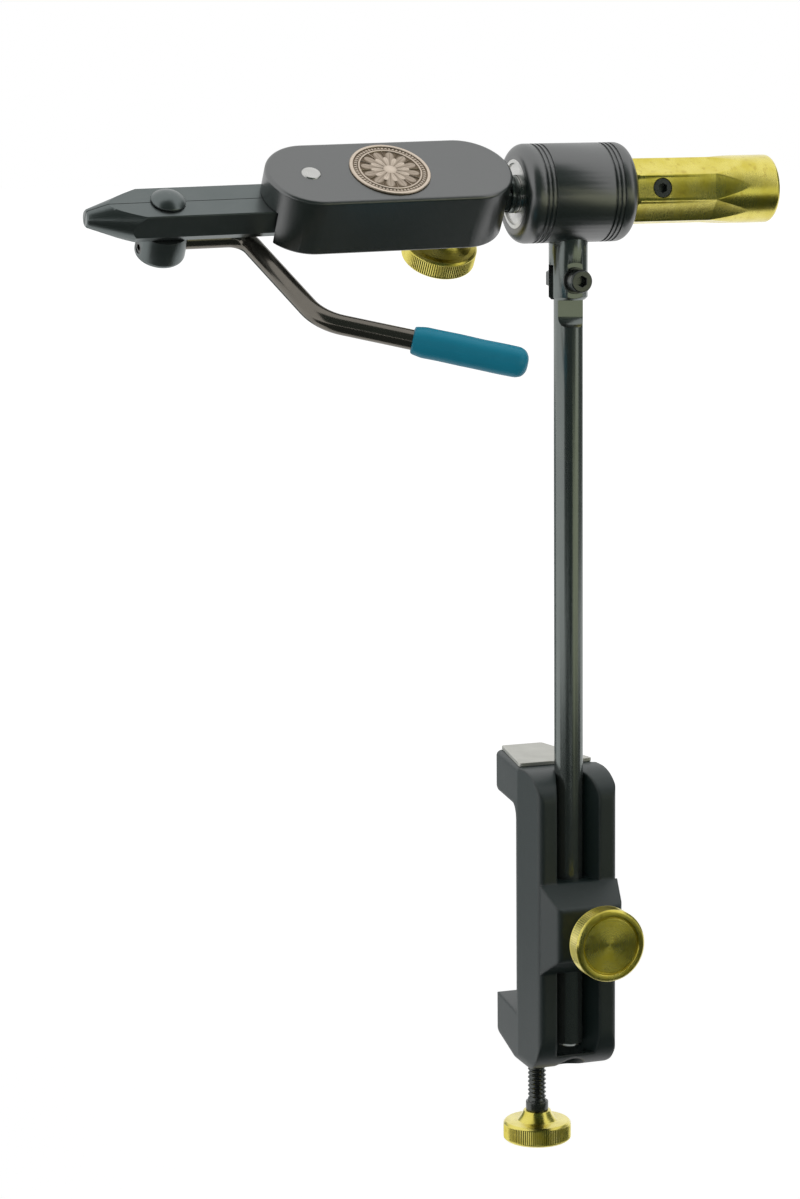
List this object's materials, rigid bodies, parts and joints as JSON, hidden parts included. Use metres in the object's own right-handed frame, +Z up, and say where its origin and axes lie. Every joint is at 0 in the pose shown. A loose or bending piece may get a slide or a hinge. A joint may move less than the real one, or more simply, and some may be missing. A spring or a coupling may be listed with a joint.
{
  "type": "fly tying vise",
  "caption": "Rotary vise for tying fishing flies: cam-lever jaws on a turning shaft in a ball-bearing hub, on a stem held by a screw clamp for a table edge.",
  "frame": {"origin": "flat underside of the clamp's upper arm, on the clamp screw's axis, where it rests on a table", "axes": "+Z up along the stem, +X from the jaws to the rotary knob, +Y away from the user"},
  "size_m": [0.232, 0.0966, 0.3427],
  "materials": {
    "cast_black": "satin",
    "plate_metal": "satin",
    "black_steel": "black oxide",
    "black_rod": "black oxide, satin",
    "black_anodised": "black anodised, satin",
    "jaw_steel": "black oxide, satin",
    "brass": "turned",
    "bronze": "antique",
    "bright_steel": "ground",
    "spring_steel": "drawn",
    "dark_polished_steel": "polished",
    "teal_vinyl": "gloss dip"
  },
  "bodies": {
    "clamp": {"clamp_frame": "cast_black", "clamp_top_plate": "plate_metal"},
    "stem_lock": {"stem_lock_stud": "black_steel", "stem_lock_knob": "brass"},
    "clamp_foot": {"clamp_foot": "black_steel"},
    "clamp_screw": {"clamp_screw": "black_steel", "clamp_knob": "brass"},
    "stem": {"stem": "black_rod"},
    "hub": {"hub_yoke": "black_rod", "hinge_screw": "black_steel", "hinge_washer": "black_steel", "hinge_nut": "black_steel", "hub_shell": "black_anodised", "front_bearing_outer_ring": "bright_steel", "front_bearing_shield": "bright_steel", "front_bearing_balls": "bright_steel", "rear_bearing_outer_ring": "bright_steel", "rear_bearing_shield": "bright_steel", "rear_bearing_balls": "bright_steel"},
    "rotary": {"shaft": "black_rod", "front_bearing_inner_ring": "bright_steel", "rear_bearing_inner_ring": "bright_steel", "rotary_knob": "brass", "knob_set_screw": "black_steel"},
    "head": {"head_housing": "black_anodised", "medallion": "bronze", "jaw_dowel": "bright_steel", "jaw_spring": "spring_steel"},
    "head_lock": {"head_lock_screw": "black_steel", "head_lock_knob": "brass"},
    "jaw_near": {"jaw_near": "jaw_steel"},
    "jaw_far": {"jaw_far": "jaw_steel"},
    "lever": {"cam_pin": "jaw_steel", "cam_barrel": "jaw_steel", "barrel_set_screw": "black_steel", "lever_rod": "dark_polished_steel", "lever_grip": "teal_vinyl"}
  },
  "joints": [
    {"name": "stem_lock_turn", "type": "hinge", "parent": "clamp", "child": "stem_lock", "pos_m": [0, -0.0285, -0.038], "axis": [0, -1, 0], "range_deg": [0, 180]},
    {"name": "clamp_foot_lift", "type": "slide", "parent": "clamp", "child": "clamp_foot", "axis": [0, 0, 1], "range_m": [-0.016, 0.021]},
    {"name": "clamp_screw_turn", "type": "hinge", "parent": "clamp_foot", "child": "clamp_screw", "pos_m": [0, 0, -0.1], "axis": [0, 0, 1], "range_deg": [-3841, 5041]},
    {"name": "stem_height", "type": "slide", "parent": "clamp", "child": "stem", "axis": [0, 0, 1], "range_m": [-0.12, 0.02]},
    {"name": "hub_tilt", "type": "hinge", "parent": "stem", "child": "hub", "pos_m": [0, -0.0285, 0.1756], "axis": [0, 1, 0], "range_deg": [-45, 45]},
    {"name": "rotary_turn", "type": "hinge", "parent": "hub", "child": "rotary", "pos_m": [0, -0.0285, 0.2036], "axis": [1, 0, 0], "continuous": true},
    {"name": "head_swing", "type": "hinge", "parent": "rotary", "child": "head", "pos_m": [-0.04, -0.0285, 0.2036], "axis": [0, -0.565, 0.8251], "range_deg": [-9.6, 6.4]},
    {"name": "head_lock_turn", "type": "hinge", "parent": "head", "child": "head_lock", "pos_m": [-0.04, -0.0285, 0.2036], "axis": [0, 0.565, -0.8251], "range_deg": [0, 180]},
    {"name": "lever_squeeze", "type": "hinge", "parent": "head", "child": "lever", "pos_m": [-0.13511, -0.03069, 0.2021], "axis": [0, -0.565, 0.8251], "range_deg": [0, 25], "stiffness_Nm_per_rad": 2, "springref_deg": -17.19},
    {"name": "jaw_near_open", "type": "hinge", "parent": "head", "child": "jaw_near", "pos_m": [-0.08973, -0.02965, 0.20282], "axis": [0, -0.565, 0.8251], "range_deg": [0, 1.21]},
    {"name": "jaw_far_open", "type": "hinge", "parent": "head", "child": "jaw_far", "pos_m": [-0.08973, -0.02965, 0.20282], "axis": [0, 0.565, -0.8251], "range_deg": [0, 1.21]}
  ],
  "couplings": [
    {"joint": "clamp_screw_turn", "follows": "clamp_foot_lift", "rad_per_m": 4188.8},
    {"joint": "jaw_near_open", "follows": "lever_squeeze", "ratio": 0.048},
    {"joint": "jaw_far_open", "follows": "lever_squeeze", "ratio": 0.048}
  ]
}
